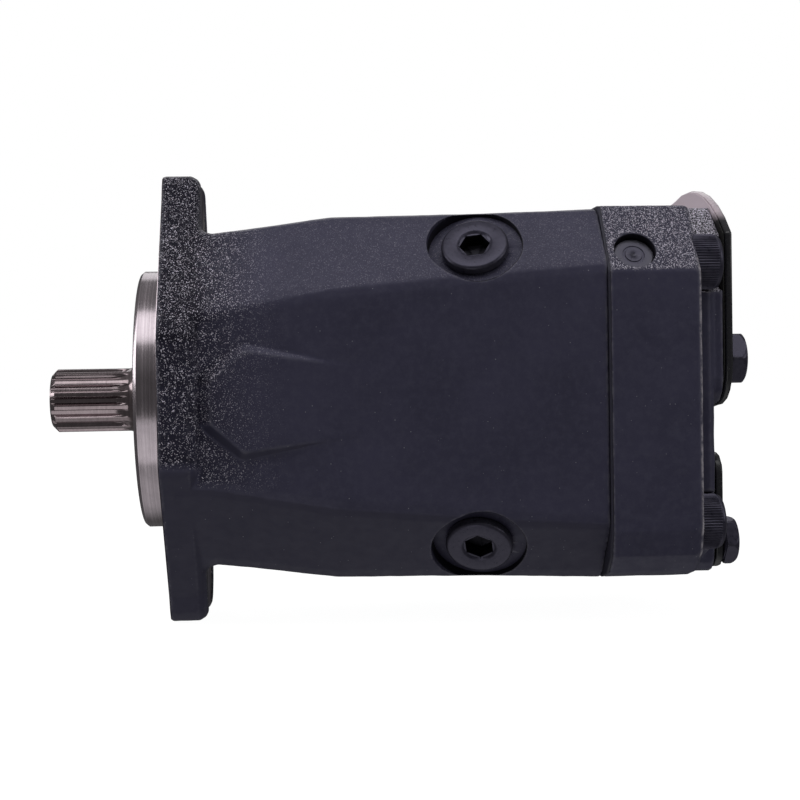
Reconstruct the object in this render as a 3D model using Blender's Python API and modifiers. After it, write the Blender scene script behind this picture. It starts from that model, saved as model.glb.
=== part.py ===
"""Axial piston pump with a two-bolt flange, a splined shaft and two ports in its rear cover.

X runs along the shaft, from its splined end to the ports, and Z is up. The origin is on the shaft's axis, in
the flange's mounting face. Every length in this file is in millimetres; the helpers turn them into metres.
The swashplate stands at neutral, where all pistons are at mid stroke and the rotating group turns freely.
"""

import math

import bmesh
import bpy
from mathutils import Matrix, Vector

MM = 0.001
GAP = 0.3  # left between pieces that touch

# mounting flange and spigot
SPIGOT_R = 50.8
SPIGOT_LENGTH = 9.7
FLANGE_THICK = 14.6
FLANGE_TIP = 87.0
FLANGE_HALF_WIDTH = 62.0
BOLT_OFFSET = 73.0
BOLT_HOLE_R = 7.15

# casting
HOUSING_END = 164.7
CAVITY_R = 50.0
# X, half height of the flat side, half height, half width, half width of the flat top
BODY_STATIONS = (
    (6.0, 32.2, 66.6, 57.3, 29.5),
    (14.4, 32.2, 66.5, 57.3, 29.5),
    (15.8, 32.2, 64.4, 57.3, 31.1),
    (19.0, 32.2, 63.3, 57.3, 32.0),
    (32.0, 34.5, 64.6, 58.3, 33.5),
    (64.0, 40.0, 68.6, 60.7, 36.5),
    (120.0, 44.7, 69.1, 60.8, 40.0),
    (HOUSING_END, 48.0, 70.3, 61.0, 43.0),
)
PAD_FACE = 60.9

# port plate
PLATE_START = 165.6
SEAM_GAP = 0.25  # on each side of the gasket in the seam
PLATE_END = 199.9
STAGE_END = 208.8
SUCTION_FACE = 212.7
PRESSURE_FACE = 211.5
PLATE_TOP = 71.0
PLATE_BOTTOM = -69.8
PLATE_HALF_WIDTH = 61.8
FACET_LOW = (PLATE_HALF_WIDTH, 45.4)  # where the upper corners' facets start and end
FACET_HIGH = (44.5, PLATE_TOP)

# shaft
SHAFT_END = -46.0
SPLINE_TIP_R = 12.49
SPLINE_ROOT_R = 11.1
SPLINE_TEETH = 15
SEAT_R = 15.0

# rotating group
PISTONS = 9
PITCH_R = 33.0
PISTON_R = 8.6
BALL_R = 4.8
TILT_X = 88.0  # the ball centres and the swashplate's tilt axis
SWASH_FACE = 81.0
BLOCK_R = 45.0
BLOCK_START = 100.0
BLOCK_END = 161.0
SPRING_END = 130.0

# swashplate and its cradle
CRADLE_R = 41.7
CRADLE_LOW = 32.5
CRADLE_HIGH = 44.0

# control rods lie in two opposite corners of the cavity
ROD_R = 5.2
ROD_OFFSET = 51.0 * math.sqrt(0.5)

# closures on the outside
SCREW_Y = 45.4
SCREW_Z = 49.2
SCREW_SEAT = 197.6
SCREW_TOP = 210.2
PLUG_X = 117.0
PLUG_FACE = (-50.3, 56.7)  # (y, z) of the upper plug's face, level with the facet around it
PLUG_DEPTH = 4.0
PLUG_ELEVATION = 40.0  # degrees above level
PLUG_LEAN = 10.0  # degrees towards the flange
SUCTION_Z = 37.25
SUCTION_BOLT = (30.5, 24.7)
PRESSURE_Z = -46.9
PRESSURE_BOLT = (26.2, 11.9)
GASKET_THICK = 0.5
COVER_THICK = 2.8
GALLERY_X = 176.0
GALLERY_Z = 53.2


def new_collection(name):
    made = bpy.data.collections.new(name)
    bpy.context.scene.collection.children.link(made)
    return made


def material(name, colour, roughness, metallic):
    made = bpy.data.materials.new(name)
    made.use_nodes = True
    shader = made.node_tree.nodes["Principled BSDF"]
    shader.inputs["Base Color"].default_value = (*colour, 1)
    shader.inputs["Roughness"].default_value = roughness
    shader.inputs["Metallic"].default_value = metallic
    made.diffuse_color = (*colour, 1)
    return made


for old in list(bpy.data.objects):
    bpy.data.objects.remove(old)
PUMP = new_collection("axial_piston_pump")
CUTTERS = new_collection("cutters")

PAINT = material("paint", (0.020, 0.020, 0.032), 0.42, 0.0)
STEEL = material("steel", (0.42, 0.40, 0.40), 0.32, 1.0)
HARDENED = material("hardened_steel", (0.30, 0.30, 0.31), 0.25, 1.0)
BLACK_OXIDE = material("black_oxide", (0.018, 0.018, 0.020), 0.45, 0.7)
BRONZE = material("bronze", (0.48, 0.30, 0.12), 0.40, 1.0)
RUBBER = material("rubber", (0.015, 0.015, 0.015), 0.8, 0.0)
PAPER = material("gasket_paper", (0.10, 0.09, 0.07), 0.9, 0.0)


# ---------------------------------------------------------------- helpers


def helper_object(name, mesh, matrix):
    """A new object among the cutters, where it stays unless it is made a piece."""
    made = bpy.data.objects.new(name, mesh)
    CUTTERS.objects.link(made)
    made.matrix_world = matrix
    made.hide_render = True
    made.display_type = "WIRE"
    return made


def piece(made, finish, name=None):
    """Makes an object one of the pump's own pieces."""
    CUTTERS.objects.unlink(made)
    PUMP.objects.link(made)
    made.hide_render = False
    made.display_type = "TEXTURED"
    made.name = name or made.name
    made.data.materials.clear()
    made.data.materials.append(finish)
    made.data.shade_smooth()
    made.data.set_sharp_from_angle(angle=math.radians(35))
    return made


def along(origin, direction):
    """Carries a shape's own +Z onto a direction, from an origin."""
    turn = Vector((0, 0, 1)).rotation_difference(Vector(direction)).to_matrix().to_4x4()
    return Matrix.Translation(Vector(origin) * MM) @ turn


def turned(name, profile, steps=32, origin=(0, 0, 0), direction=(1, 0, 0)):
    """A profile of (distance, radius) turned about the axis, listed down its outer side from the far end."""
    mesh = bpy.data.meshes.new(name)
    points = [(radius * MM, 0, distance * MM) for distance, radius in profile]
    closed = profile[0][1] > 0
    edges = [(i, i + 1) for i in range(len(points) - 1)]
    mesh.from_pydata(points, edges + [(len(points) - 1, 0)] * closed, [])
    made = helper_object(name, mesh, along(origin, direction))
    screw = made.modifiers.new("turn", "SCREW")
    screw.steps = screw.render_steps = steps
    screw.use_merge_vertices = True
    screw.merge_threshold = 0.000001
    return made


def cylinder(name, radius, low, high, origin=(0, 0, 0), direction=(1, 0, 0), sides=24):
    """A round bar from low to high along a direction from an origin."""
    work = bmesh.new()
    bmesh.ops.create_cone(work, cap_ends=True, segments=sides, radius1=radius * MM, radius2=radius * MM,
                          depth=(high - low) * MM, matrix=Matrix.Translation((0, 0, (low + high) / 2 * MM)))
    mesh = bpy.data.meshes.new(name)
    work.to_mesh(mesh)
    work.free()
    return helper_object(name, mesh, along(origin, direction))


def box(name, low, high):
    """A block between two corners."""
    middle = (Vector(low) + Vector(high)) / 2 * MM
    size = (Vector(high) - Vector(low)) * MM
    work = bmesh.new()
    bmesh.ops.create_cube(work, size=1, matrix=Matrix.Translation(middle) @ Matrix.Diagonal((*size, 1)))
    mesh = bpy.data.meshes.new(name)
    work.to_mesh(mesh)
    work.free()
    return helper_object(name, mesh, Matrix.Identity(4))


# each axis takes its outline in the next two axes, in turn: X takes (y, z), Y takes (z, x), Z takes (x, y)
PLANES = {
    "X": Matrix(((0, 0, 1), (1, 0, 0), (0, 1, 0))).to_4x4(),
    "Y": Matrix(((0, 1, 0), (0, 0, 1), (1, 0, 0))).to_4x4(),
    "Z": Matrix.Identity(4),
}


def prism(name, outline, low, high, axis="X"):
    """A flat outline given thickness along an axis, from low to high."""
    curve = bpy.data.curves.new(name, "CURVE")
    curve.dimensions = "2D"
    curve.fill_mode = "BOTH"
    curve.extrude = (high - low) / 2 * MM
    spline = curve.splines.new("POLY")
    spline.points.add(len(outline) - 1)
    spline.use_cyclic_u = True
    for point, (u, v) in zip(spline.points, outline):
        point.co = (u * MM, v * MM, 0, 1)
    flat = bpy.data.objects.new(name + "_outline", curve)
    CUTTERS.objects.link(flat)
    solid = bpy.data.meshes.new_from_object(flat.evaluated_get(bpy.context.evaluated_depsgraph_get()))
    bpy.data.objects.remove(flat)
    work = bmesh.new()
    work.from_mesh(solid)
    bmesh.ops.remove_doubles(work, verts=work.verts, dist=0.000001)
    bmesh.ops.dissolve_limit(work, angle_limit=0.001, verts=work.verts, edges=work.edges)
    bmesh.ops.transform(work, matrix=Matrix.Translation((0, 0, (low + high) / 2 * MM)), verts=work.verts)
    bmesh.ops.recalc_face_normals(work, faces=work.faces)
    work.to_mesh(solid)
    work.free()
    return helper_object(name, solid, PLANES[axis])


def loft(name, sections):
    """A solid through several (x, outline) sections, whose outlines have the same number of (y, z) points."""
    work = bmesh.new()
    rings = [[work.verts.new((x * MM, y * MM, z * MM)) for y, z in outline] for x, outline in sections]
    for first, second in zip(rings, rings[1:]):
        for i in range(len(first)):
            work.faces.new((first[i - 1], first[i], second[i], second[i - 1]))
    work.faces.new(rings[0])
    work.faces.new(rings[-1])
    bmesh.ops.recalc_face_normals(work, faces=work.faces)
    mesh = bpy.data.meshes.new(name)
    work.to_mesh(mesh)
    work.free()
    return helper_object(name, mesh, Matrix.Identity(4))


def coil(name, radius, wire_r, start, end, turns, origin=(0, 0, 0)):
    """A compression spring along X, with its ends cut square to the wire."""
    per_turn = 8
    curve = bpy.data.curves.new(name, "CURVE")
    curve.dimensions = "3D"
    curve.bevel_depth = wire_r * MM
    curve.bevel_resolution = 1
    curve.use_fill_caps = True
    spline = curve.splines.new("POLY")
    count = int(turns * per_turn) + 1
    spline.points.add(count - 1)
    low, high = start + wire_r, end - wire_r
    for i, point in enumerate(spline.points):
        angle = 2 * math.pi * i / per_turn
        run = low + (high - low) * i / (count - 1)
        place = Vector((run, radius * math.cos(angle), radius * math.sin(angle)))
        point.co = (*((place + Vector(origin)) * MM), 1)
    wire = bpy.data.objects.new(name + "_wire", curve)
    CUTTERS.objects.link(wire)
    solid = bpy.data.meshes.new_from_object(wire.evaluated_get(bpy.context.evaluated_depsgraph_get()))
    bpy.data.objects.remove(wire)
    work = bmesh.new()
    work.from_mesh(solid)
    bmesh.ops.remove_doubles(work, verts=work.verts, dist=0.000001)
    bmesh.ops.recalc_face_normals(work, faces=work.faces)
    work.to_mesh(solid)
    work.free()
    return helper_object(name, solid, Matrix.Identity(4))


def combine(target, operation, *others):
    """Adds one Boolean after another to a target."""
    for other in others:
        step = target.modifiers.new(other.name, "BOOLEAN")
        step.operation = operation
        step.solver = "EXACT"
        step.object = other
    return target


def cut(target, *cutters):
    return combine(target, "DIFFERENCE", *cutters)


def join(target, *others):
    return combine(target, "UNION", *others)


def bake(made):
    """Turns an object's modifiers into plain mesh, so that copies can share it."""
    solid = bpy.data.meshes.new_from_object(made.evaluated_get(bpy.context.evaluated_depsgraph_get()))
    made.modifiers.clear()
    made.data = solid
    return made


def copies(made, finish, matrices):
    """Numbered pieces that share one mesh, one for each matrix applied to the first one's place."""
    base = made.matrix_world.copy()
    stem = made.name
    piece(made, finish, stem + "_1")
    made.matrix_world = matrices[0] @ base
    for number, matrix in enumerate(matrices[1:], 2):
        other = bpy.data.objects.new(f"{stem}_{number}", made.data)
        PUMP.objects.link(other)
        other.matrix_world = matrix @ base


def shift(x, y, z):
    return Matrix.Translation(Vector((x, y, z)) * MM)


# ---------------------------------------------------------------- outlines


def arc(centre, radius, start, end, steps):
    """Points along an arc, with its angles in degrees."""
    angles = [math.radians(start + (end - start) * i / steps) for i in range(steps + 1)]
    return [(centre[0] + radius * math.cos(a), centre[1] + radius * math.sin(a)) for a in angles]


def rounded(corners, steps=4):
    """An outline whose corners, each (u, v, radius), are rounded."""
    points = []
    for i, (u, v, radius) in enumerate(corners):
        here = Vector((u, v))
        back = (Vector(corners[i - 1][:2]) - here).normalized()
        ahead = (Vector(corners[(i + 1) % len(corners)][:2]) - here).normalized()
        half = back.angle(ahead) / 2
        centre = here + (back + ahead).normalized() * radius / math.sin(half)
        first = here + back * radius / math.tan(half) - centre
        start = math.atan2(first.y, first.x)
        sweep = (math.pi - 2 * half) * (1 if back.cross(ahead) < 0 else -1)
        for step in range(steps + 1):
            angle = start + sweep * step / steps
            points.append((centre.x + radius * math.cos(angle), centre.y + radius * math.sin(angle)))
    return points


def four_way(corners):
    """Corners of one quarter, in order from the +u axis, repeated around both axes."""
    upper = corners + [(-u, v, r) for u, v, r in reversed(corners)]
    return upper + [(u, -v, r) for u, v, r in reversed(upper)]


def scaled(outline, across, up):
    return [(y * across, z * up) for y, z in outline]


def arc_band(inner, outer, start, end, steps, centre=(0, 0)):
    """The outline of a strip between two arcs."""
    return arc(centre, outer, start, end, steps) + arc(centre, inner, end, start, steps)


def toothed(teeth, root_r, tip_r, root_half, tip_half):
    """A splined section; each tooth's half widths at its root and its tip are in degrees."""
    points = []
    for i in range(teeth):
        middle = 360 * i / teeth
        tooth = ((-root_half, root_r), (-tip_half, tip_r), (tip_half, tip_r), (root_half, root_r))
        for angle, radius in tooth:
            turn = math.radians(middle + angle)
            points.append((radius * math.cos(turn), radius * math.sin(turn)))
    return points


def body_section(side_height, half_height, half_width, top_width):
    """The casting's section: flat sides, slanted facets and a flat top and bottom, with soft corners."""
    return rounded(four_way([(half_width, side_height, 9), (top_width, half_height, 9)]), 2)


def flange_outline():
    return rounded(four_way([(FLANGE_HALF_WIDTH, 25, 8), (24.5, 76, 8), (19, FLANGE_TIP, 8)]), 2)


def plate_outline():
    """The port plate's outline: facets on its upper corners and round lower ones."""
    (low_y, low_z), (high_y, high_z) = FACET_LOW, FACET_HIGH
    upper = [(low_y, low_z, 3), (high_y, high_z, 3), (-high_y, high_z, 3), (-low_y, low_z, 3)]
    return rounded(upper + [(-low_y, PLATE_BOTTOM, 19), (low_y, PLATE_BOTTOM, 19)], 3)


def suction_outline(grow=0.0):
    """A wide arch over the near upper corner and a tight far one, repeated by half a turn."""
    reach = math.degrees(math.acos((53 + grow) / (76 + grow)))
    half = arc((9, 6), 76 + grow, 180 - reach, 78, 7) + arc((28, 64), 16 + grow, 80, 0, 4)
    return half + [(-y, 2 * SUCTION_Z - z) for y, z in half]


def pressure_outline(grow=0.0):
    half_width, half_height = 32.6 + grow, 22.6 + grow
    return [(y, z + PRESSURE_Z) for y, z in rounded(four_way([(half_width, half_height, 8)]), 3)]


def rod_centres():
    """The control rod's corner and the opposite one, as (y, z)."""
    return ((ROD_OFFSET, ROD_OFFSET), (-ROD_OFFSET, -ROD_OFFSET))


def suction_bolts():
    across, up = SUCTION_BOLT
    return ((-across, SUCTION_Z - up), (across, SUCTION_Z + up))


def pressure_bolts():
    across, up = PRESSURE_BOLT
    return ((-across, PRESSURE_Z - up), (across, PRESSURE_Z + up))


def screw_places():
    return [(y, z) for y in (-SCREW_Y, SCREW_Y) for z in (SCREW_Z, -SCREW_Z)]


def gallery_seat():
    """The middle of the plugged hole in the port plate's near upper facet, and the way it faces."""
    (low_y, low_z), (high_y, high_z) = FACET_LOW, FACET_HIGH
    share = (GALLERY_Z - low_z) / (high_z - low_z)
    facing = Vector((0, low_z - high_z, low_y - high_y)).normalized()
    return (GALLERY_X, -low_y + (low_y - high_y) * share, GALLERY_Z), facing


def plug_seats():
    """The upper and the lower drain plug's face centre and the way it faces."""
    lean, elevation = math.radians(PLUG_LEAN), math.radians(PLUG_ELEVATION)
    level, rise = math.cos(lean) * math.cos(elevation), math.cos(lean) * math.sin(elevation)
    for side, up in (("upper", 1), ("lower", -1)):
        yield side, (PLUG_X, PLUG_FACE[0], up * PLUG_FACE[1]), (-math.sin(lean), -level, up * rise)


# ---------------------------------------------------------------- casting and port plate


def make_housing():
    body = loft("housing", [(x, body_section(*sizes)) for x, *sizes in BODY_STATIONS])
    outline = flange_outline()
    flange = loft("flange", [(0, scaled(outline, 0.99, 0.994)), (0.7, outline),
                             (FLANGE_THICK - 3.5, outline), (FLANGE_THICK - 1, scaled(outline, 0.975, 0.983)),
                             (FLANGE_THICK, scaled(outline, 0.945, 0.96))])
    spigot = turned("spigot", [(5, 0), (5, SPIGOT_R - 1), (0.6, SPIGOT_R - 1), (0.6, SPIGOT_R),
                               (1 - SPIGOT_LENGTH, SPIGOT_R), (-SPIGOT_LENGTH, SPIGOT_R - 1),
                               (-SPIGOT_LENGTH, 0)], 40)
    pad = rounded([(-9.5, 16, 2), (8.5, 16, 2), (21, 31, 3), (14, 76, 3), (-16, 76, 3), (-22, 30, 3)], 1)
    near_pad = prism("near_pad", pad, -PAD_FACE, -48, "Y")
    far_pad = prism("far_pad", pad, 48, PAD_FACE, "Y")
    for raised in (near_pad, far_pad):
        edge = raised.modifiers.new("edge", "BEVEL")
        edge.width = 3 * MM
        edge.segments = 1
        edge.angle_limit = math.radians(50)
    join(body, flange, spigot, near_pad, far_pad)

    bore = turned("housing_bore", [(175, 0), (175, CAVITY_R), (62, CAVITY_R), (62, 31.3), (7.5, 31.3),
                                   (7.5, 17), (1.5, 17), (1.5, 20), (-7, 20), (-7, 21.5), (-8.8, 21.5),
                                   (-8.8, 20), (-15, 20), (-15, 0)], 32)
    saddle = cylinder("cradle_saddle", CRADLE_R + 3.2, -CRADLE_HIGH - 0.8, CRADLE_HIGH + 0.8,
                      (TILT_X, 0, 0), (0, 0, 1), 28)
    cut(body, bore, saddle)
    for side, z in (("upper", BOLT_OFFSET), ("lower", -BOLT_OFFSET)):
        hole = cylinder(f"{side}_flange_hole", BOLT_HOLE_R, -5, 25, (0, 0, z))
        spot_face = cylinder(f"{side}_spot_face", 15.5, 13.4, 25, (0, 0, z), sides=24)
        cut(body, hole, spot_face)
    for side, face, outward in plug_seats():
        recess = cylinder(f"{side}_drain_recess", 17.4, -PLUG_DEPTH, 20, face, outward, 24)
        port = cylinder(f"{side}_drain_port", 9.6, -36, 5, face, outward, 16)
        cut(body, recess, port)
    for number, (y, z) in enumerate(screw_places(), 1):
        cut(body, cylinder(f"tapped_hole_{number}", 7.6, HOUSING_END - 14, 175, (0, y, z), sides=12))
    for number, (y, z) in enumerate(rod_centres(), 1):
        cut(body, cylinder(f"rod_channel_{number}", 6.5, 70, 175, (0, y, z), sides=12))
    piece(body, PAINT)


def make_port_plate():
    outline = plate_outline()
    plate = loft("port_plate", [(PLATE_START, outline), (PLATE_END - 1.8, outline),
                                (PLATE_END - 0.5, scaled(outline, 0.99, 0.991)),
                                (PLATE_END, scaled(outline, 0.974, 0.977))])
    stage = rounded([(46, 60, 8), (30, 72, 8), (-24, 72, 4), (-44.5, 56, 4), (-46, 40, 8),
                     (-46, -64, 12), (46, -64, 12)], 2)
    step = loft("rear_stage", [(PLATE_END - 5, stage), (STAGE_END - 2, stage),
                               (STAGE_END, scaled(stage, 0.965, 0.965))])
    boss = rounded([(-44, -5, 10), (44, -5, 10), (44, 60, 8), (30, 71.8, 8), (-26, 71.8, 4), (-44, 57, 4)], 3)
    join(plate, step, prism("suction_boss", boss, PLATE_END - 5, SUCTION_FACE),
         prism("pressure_boss", pressure_outline(1.4), PLATE_END - 5, PRESSURE_FACE))

    pocket = cylinder("rear_bearing_pocket", 23.6, 150, PLATE_START + 18.4, sides=28)
    suction_kidney = prism("suction_passage", arc_band(28, 38, 30, 150, 8), 150, PLATE_START + 21.4)
    pressure_kidney = prism("pressure_passage", arc_band(28, 38, 210, 330, 8), 150, PLATE_START + 21.4)
    suction_bore = cylinder("suction_bore", 19, PLATE_START + 19.9, 230, (0, 0, SUCTION_Z), sides=24)
    pressure_bore = cylinder("pressure_bore", 12.7, PLATE_START + 19.9, 230, (0, 0, PRESSURE_Z), sides=20)
    cut(plate, pocket, suction_kidney, pressure_kidney, suction_bore, pressure_bore)
    for number, (y, z) in enumerate(screw_places(), 1):
        cut(plate, cylinder(f"screw_hole_{number}", 7.4, 150, 205, (0, y, z), sides=12),
            cylinder(f"screw_seat_{number}", 10.95, SCREW_SEAT, 230, (0, y, z), sides=20))
    for number, (y, z) in enumerate(rod_centres(), 1):
        cut(plate, cylinder(f"rod_bore_{number}", 6.5, 150, PLATE_START + 26.6, (0, y, z), sides=12))
    for number, (y, z) in enumerate(suction_bolts(), 1):
        cut(plate, cylinder(f"suction_bolt_hole_{number}", 6.1, 194, 230, (0, y, z), sides=12))
    for number, (y, z) in enumerate(pressure_bolts(), 1):
        cut(plate, cylinder(f"pressure_bolt_hole_{number}", 5.4, 194, 230, (0, y, z), sides=12))
    seat, facing = gallery_seat()
    cut(plate, cylinder("gallery_mouth", 7.6, -3.6, 5, seat, facing))
    piece(plate, PAINT)

    gasket = prism("housing_gasket", scaled(outline, 0.992, 0.992), HOUSING_END + SEAM_GAP,
                   PLATE_START - SEAM_GAP)
    cut(gasket, cylinder("gasket_opening", CAVITY_R + 0.5, 150, 180, sides=32))
    for number, (y, z) in enumerate(screw_places(), 1):
        cut(gasket, cylinder(f"gasket_screw_hole_{number}", 7.6, 150, 180, (0, y, z), sides=12))
    for number, (y, z) in enumerate(rod_centres(), 1):
        cut(gasket, cylinder(f"gasket_rod_hole_{number}", 6.5, 150, 180, (0, y, z), sides=12))
    piece(gasket, PAPER)


# ---------------------------------------------------------------- closures and fasteners


def make_port_plate_screws():
    seat, top, tip = SCREW_SEAT + GAP, SCREW_TOP, HOUSING_END - 12
    screw = turned("port_plate_screw", [(top, 0), (top, 9.3), (top - 1.2, 10.5), (seat, 10.5), (seat, 6.9),
                                        (tip + 1.5, 6.9), (tip, 6), (tip, 0)], 20)
    cut(screw, cylinder("screw_socket", 12 / math.sqrt(3), top - 7, top + 5, sides=6))
    copies(bake(screw), BLACK_OXIDE, [shift(0, y, z) for y, z in screw_places()])


def make_drain_plugs():
    seat = GAP - PLUG_DEPTH
    for side, face, outward in plug_seats():
        plug = turned(f"{side}_drain_plug", [(0, 0), (0, 11.8), (-0.7, 12.5), (seat, 12.5), (seat, 9.2),
                                             (seat - 11, 9.2), (seat - 12, 8.4), (seat - 12, 0)],
                      24, face, outward)
        cut(plug, cylinder(f"{side}_plug_socket", 10 / math.sqrt(3), -6.5, 5, face, outward, 6))
        piece(plug, BLACK_OXIDE)


def make_gallery_plug():
    seat, facing = gallery_seat()
    piece(turned("gallery_plug", [(-2.9, 0), (-3.0, 1.2), (-2.7, 2.4), (-2.7, 7.2), (-3.3, 7.2), (-3.3, 0)],
                 24, seat, facing), STEEL)


def hex_bolt(name, face, across_flats, head, shank_r):
    """A cover's hexagon bolt along X at the axis, with two of its flats level."""
    start = face + 3 * GAP + GASKET_THICK + COVER_THICK
    bolt = cylinder(name, across_flats / math.sqrt(3), start, start + head, sides=6)
    crown = turned(name + "_crown", [(start + head + 1, 0), (start + head, across_flats * 0.47),
                                     (start - 3, across_flats * 0.66), (start - 3, 0)], 24)
    combine(bolt, "INTERSECT", crown)
    join(bolt, cylinder(name + "_shank", shank_r, PLATE_END - 3, start + 2, sides=12))
    return bake(bolt)


def make_port_cover(name, face, outline_of, holes, hole_r):
    """A shipping cover on its gasket, over one of the rear ports."""
    first = face + GAP
    second = first + GASKET_THICK + GAP
    gasket = prism(name + "_gasket", outline_of(-0.6), first, first + GASKET_THICK)
    cover = prism(name, outline_of(0.0), second, second + COVER_THICK)
    for number, (y, z) in enumerate(holes, 1):
        for target in (gasket, cover):
            cut(target, cylinder(f"{target.name}_hole_{number}", hole_r, 200, 230, (0, y, z), sides=12))
    piece(gasket, PAPER)
    piece(cover, PAINT)


# ---------------------------------------------------------------- shaft, seal and bearings


def make_shaft():
    rear = PLATE_START + 16.4
    shaft = turned("drive_shaft", [(rear, 0), (rear, 10), (rear - 1, 11),
                                   (BLOCK_END - 4, 11), (BLOCK_END - 4, 13.2), (BLOCK_START + 2, 13.2),
                                   (BLOCK_START + 2, 14.6), (33, 14.6), (33, 17.5), (28, 17.5), (28, SEAT_R),
                                   (4, SEAT_R), (4, 14), (-12.8, 14), (-14.2, 12.6),
                                   (-17, SPLINE_ROOT_R), (-19, 10), (-19, 0)], 24)
    section = toothed(SPLINE_TEETH, SPLINE_ROOT_R, SPLINE_TIP_R, 7.4, 3.6)
    teeth = prism("shaft_spline", section, SHAFT_END, -13)
    envelope = turned("spline_envelope", [(-11, 0), (-11, SPLINE_ROOT_R - 1.5), (-17, SPLINE_TIP_R + 0.3),
                                          (SHAFT_END + 1.8, SPLINE_TIP_R + 0.3), (SHAFT_END - 0.5, 10.2),
                                          (SHAFT_END - 0.5, 0)], 24)
    combine(teeth, "INTERSECT", envelope)
    inner = prism("block_spline", toothed(10, 13.0, SEAT_R, 9, 6), SPRING_END + 2, BLOCK_END - 5)
    piece(join(shaft, teeth, inner), STEEL)


def make_seal():
    section = [(1.2, 17), (1.2, 19.7), (-6.7, 19.7), (-6.7, 14.4), (-4, 14.9), (-4, 17)]
    piece(turned("shaft_seal", section, 28), RUBBER)
    ring = prism("seal_retaining_ring", arc_band(17.6, 21.2, 20, 340, 18), -8.5, -7.3)
    piece(ring, BLACK_OXIDE)


def make_bearings():
    """Tapered roller bearings; each cone carries its rollers as one ring."""
    piece(turned("front_bearing_cone", [(25.5, 15.4), (25.5, 22.0), (9, 25.8), (9, 15.4)], 28), HARDENED)
    piece(turned("front_bearing_cup", [(25.5, 22.7), (25.5, 30.9), (9, 30.9), (9, 26.5)], 28), HARDENED)
    front, rear = PLATE_START + 1.4, PLATE_START + 14.4
    cone = [(rear, 11.4), (rear, 18.2), (front, 15.6), (front, 11.4)]
    piece(turned("rear_bearing_cone", cone, 24), HARDENED)
    cup = [(rear + 3, 19.4), (rear + 3, 23.3), (front, 23.3), (front, 16.3)]
    piece(turned("rear_bearing_cup", cup, 24), HARDENED)


# ---------------------------------------------------------------- rotating group


def around(number):
    """The turn that carries a shape at the top of the pitch circle to one of the pistons' places."""
    return Matrix.Rotation(2 * math.pi * number / PISTONS, 4, "X")


def make_block():
    block = turned("cylinder_block", [(BLOCK_END, 0), (BLOCK_END, 43), (BLOCK_END - 2, BLOCK_R),
                                      (BLOCK_START + 2, BLOCK_R), (BLOCK_START, 43), (BLOCK_START, 0)], 28)
    for number in range(PISTONS):
        for stem, radius, low, high in (("bore", PISTON_R + 0.9, BLOCK_START - 5, BLOCK_END - 7),
                                        ("throat", 5, BLOCK_END - 9, BLOCK_END + 5)):
            hole = cylinder(f"{stem}_{number}", radius, low, high, (0, 0, PITCH_R), sides=10)
            hole.matrix_world = around(number) @ hole.matrix_world
            cut(block, hole)
    spring_room = cylinder("spring_room", 21.0, BLOCK_START - 5, SPRING_END, sides=24)
    socket = prism("block_socket", toothed(10, 13.5, SEAT_R + 0.5, 11, 8), SPRING_END - 2, BLOCK_END + 5)
    piece(cut(block, spring_room, socket), STEEL)


def make_pistons():
    """The piston at the top, with its ball end and its hollow, then its copies."""
    neck_x = TILT_X + 7.5
    end = BLOCK_END - 14
    ball = [(TILT_X + BALL_R * math.sin(math.radians(a)), BALL_R * math.cos(math.radians(a)))
            for a in (40, 0, -50)]
    profile = [(end, 0), (end, 7.6), (end - 1, PISTON_R), (neck_x + 2.5, PISTON_R),
               (neck_x, 3.4), *ball, (TILT_X - BALL_R, 0)]
    piston = turned("piston", profile, 10, (0, 0, PITCH_R))
    copies(bake(piston), HARDENED, [around(number) for number in range(PISTONS)])


def make_slippers():
    foot = SWASH_FACE + GAP
    socket_r = BALL_R + 0.35
    socket = [(TILT_X + socket_r * math.sin(math.radians(a)), socket_r * math.cos(math.radians(a)))
              for a in (-55, -5, 38)]
    profile = [(TILT_X - socket_r, 0), *socket, (TILT_X + 4, 7.0), (foot + 3, 7.4), (foot + 3, 10),
               (foot, 10), (foot, 0)]
    slipper = turned("slipper", profile, 10, (0, 0, PITCH_R))
    copies(bake(slipper), BRONZE, [around(number) for number in range(PISTONS)])


def make_retainer():
    low = SWASH_FACE + 2 * GAP + 3
    plate = turned("retainer_plate", [(low + 2.5, 20.4), (low + 2.5, 44.8), (low, 44.8), (low, 20.4)], 28)
    for number in range(PISTONS):
        hole = cylinder(f"retainer_hole_{number}", 8.6, 60, 100, (0, 0, PITCH_R), sides=10)
        hole.matrix_world = around(number) @ hole.matrix_world
        cut(plate, hole)
    piece(plate, STEEL)

    reach = 20.0
    round_face = [(TILT_X + reach * math.sin(math.radians(a)), reach * math.cos(math.radians(a)))
                  for a in (0, -14)]
    piece(turned("retainer_ball", [(BLOCK_START + 1, 15.2), (BLOCK_START + 1, reach), *round_face,
                                   (TILT_X - 5, 17), (TILT_X - 5, 15.2)], 28), HARDENED)
    piece(coil("block_spring", 18, 1.6, BLOCK_START + 1.5, SPRING_END - 0.4, 4.5), HARDENED)


def make_valve_plate():
    plate = turned("valve_plate", [(PLATE_START - GAP, 25), (PLATE_START - GAP, 44), (BLOCK_END + GAP, 44),
                                   (BLOCK_END + GAP, 25)], 28)
    cut(plate, prism("suction_kidney", arc_band(29.5, 36.5, 25, 155, 6), 150, 175),
        prism("pressure_kidney", arc_band(29.5, 36.5, 205, 335, 6), 150, 175))
    piece(plate, BRONZE)


# ---------------------------------------------------------------- swashplate and its control


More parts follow.
